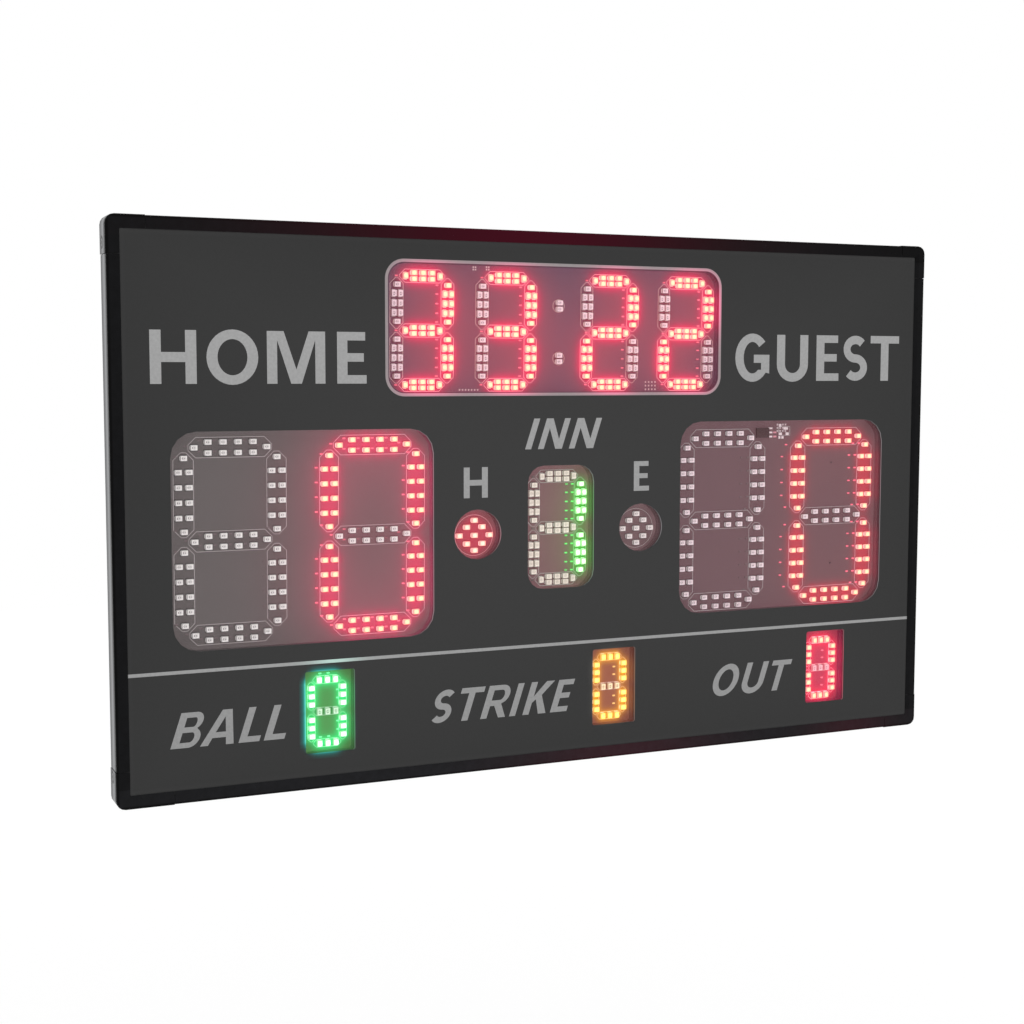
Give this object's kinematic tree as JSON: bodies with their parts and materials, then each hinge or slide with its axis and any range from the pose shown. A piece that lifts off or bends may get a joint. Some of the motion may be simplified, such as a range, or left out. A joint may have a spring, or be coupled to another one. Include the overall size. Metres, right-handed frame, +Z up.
{
  "type": "electronic scoreboard",
  "caption": "Wall-hung LED scoreboard for bat-and-ball games: clock, home and guest scores, inning, hit and error lamps and ball, strike and out counts behind a dark face in a slim frame.",
  "frame": {"origin": "centre of the flat back face, which lies against the wall", "axes": "+X to the viewer's right, +Y out of the back into the wall (the display faces -Y), +Z up"},
  "size_m": [0.5006, 0.015, 0.3006],
  "materials": {
    "silver": "anodised satin",
    "bezel": "gloss black",
    "mask": "printed dark grey film, matte",
    "smoked_panel": "smoked acrylic sheet",
    "display_board": "circuit board with light-emitting chips",
    "circuit_board": "green circuit board",
    "black_plastic": "moulded, matte",
    "brass": "turned",
    "rear_cover": "powder-coated black sheet"
  },
  "bodies": {
    "board": {"corner_cap_top_left": "silver", "corner_cap_top_right": "silver", "corner_cap_bottom_left": "silver", "corner_cap_bottom_right": "silver", "rail_top": "silver", "rail_left": "silver", "rail_right": "silver", "rail_bottom_left": "silver", "rail_ports": "silver", "rail_bottom_right": "silver", "bezel_corner_top_left": "bezel", "bezel_corner_top_right": "bezel", "bezel_corner_bottom_left": "bezel", "bezel_corner_bottom_right": "bezel", "bezel_top": "bezel", "bezel_left": "bezel", "bezel_right": "bezel", "bezel_bottom": "bezel", "panel_mask": "mask", "front_panel": "smoked_panel", "window_baffle": "black_plastic", "clock_board": "display_board", "home_score_board": "display_board", "guest_score_board": "display_board", "inning_board": "display_board", "hit_board": "display_board", "error_board": "display_board", "ball_board": "display_board", "strike_board": "display_board", "out_board": "display_board", "controller_board": "circuit_board", "power_board": "circuit_board", "radio_board": "circuit_board", "buzzer": "black_plastic", "pillar_1": "brass", "pillar_2": "brass", "pillar_3": "brass", "pillar_4": "brass", "pillar_5": "brass", "pillar_6": "brass", "pillar_7": "brass", "pillar_8": "brass", "dc_socket": "black_plastic", "switch_body": "black_plastic", "rear_cover": "rear_cover"},
    "switch": {"switch_slider": "black_plastic"}
  },
  "joints": [
    {"name": "switch_slide", "type": "slide", "parent": "board", "child": "switch", "axis": [1, 0, 0], "range_m": [0, 0.004]}
  ]
}
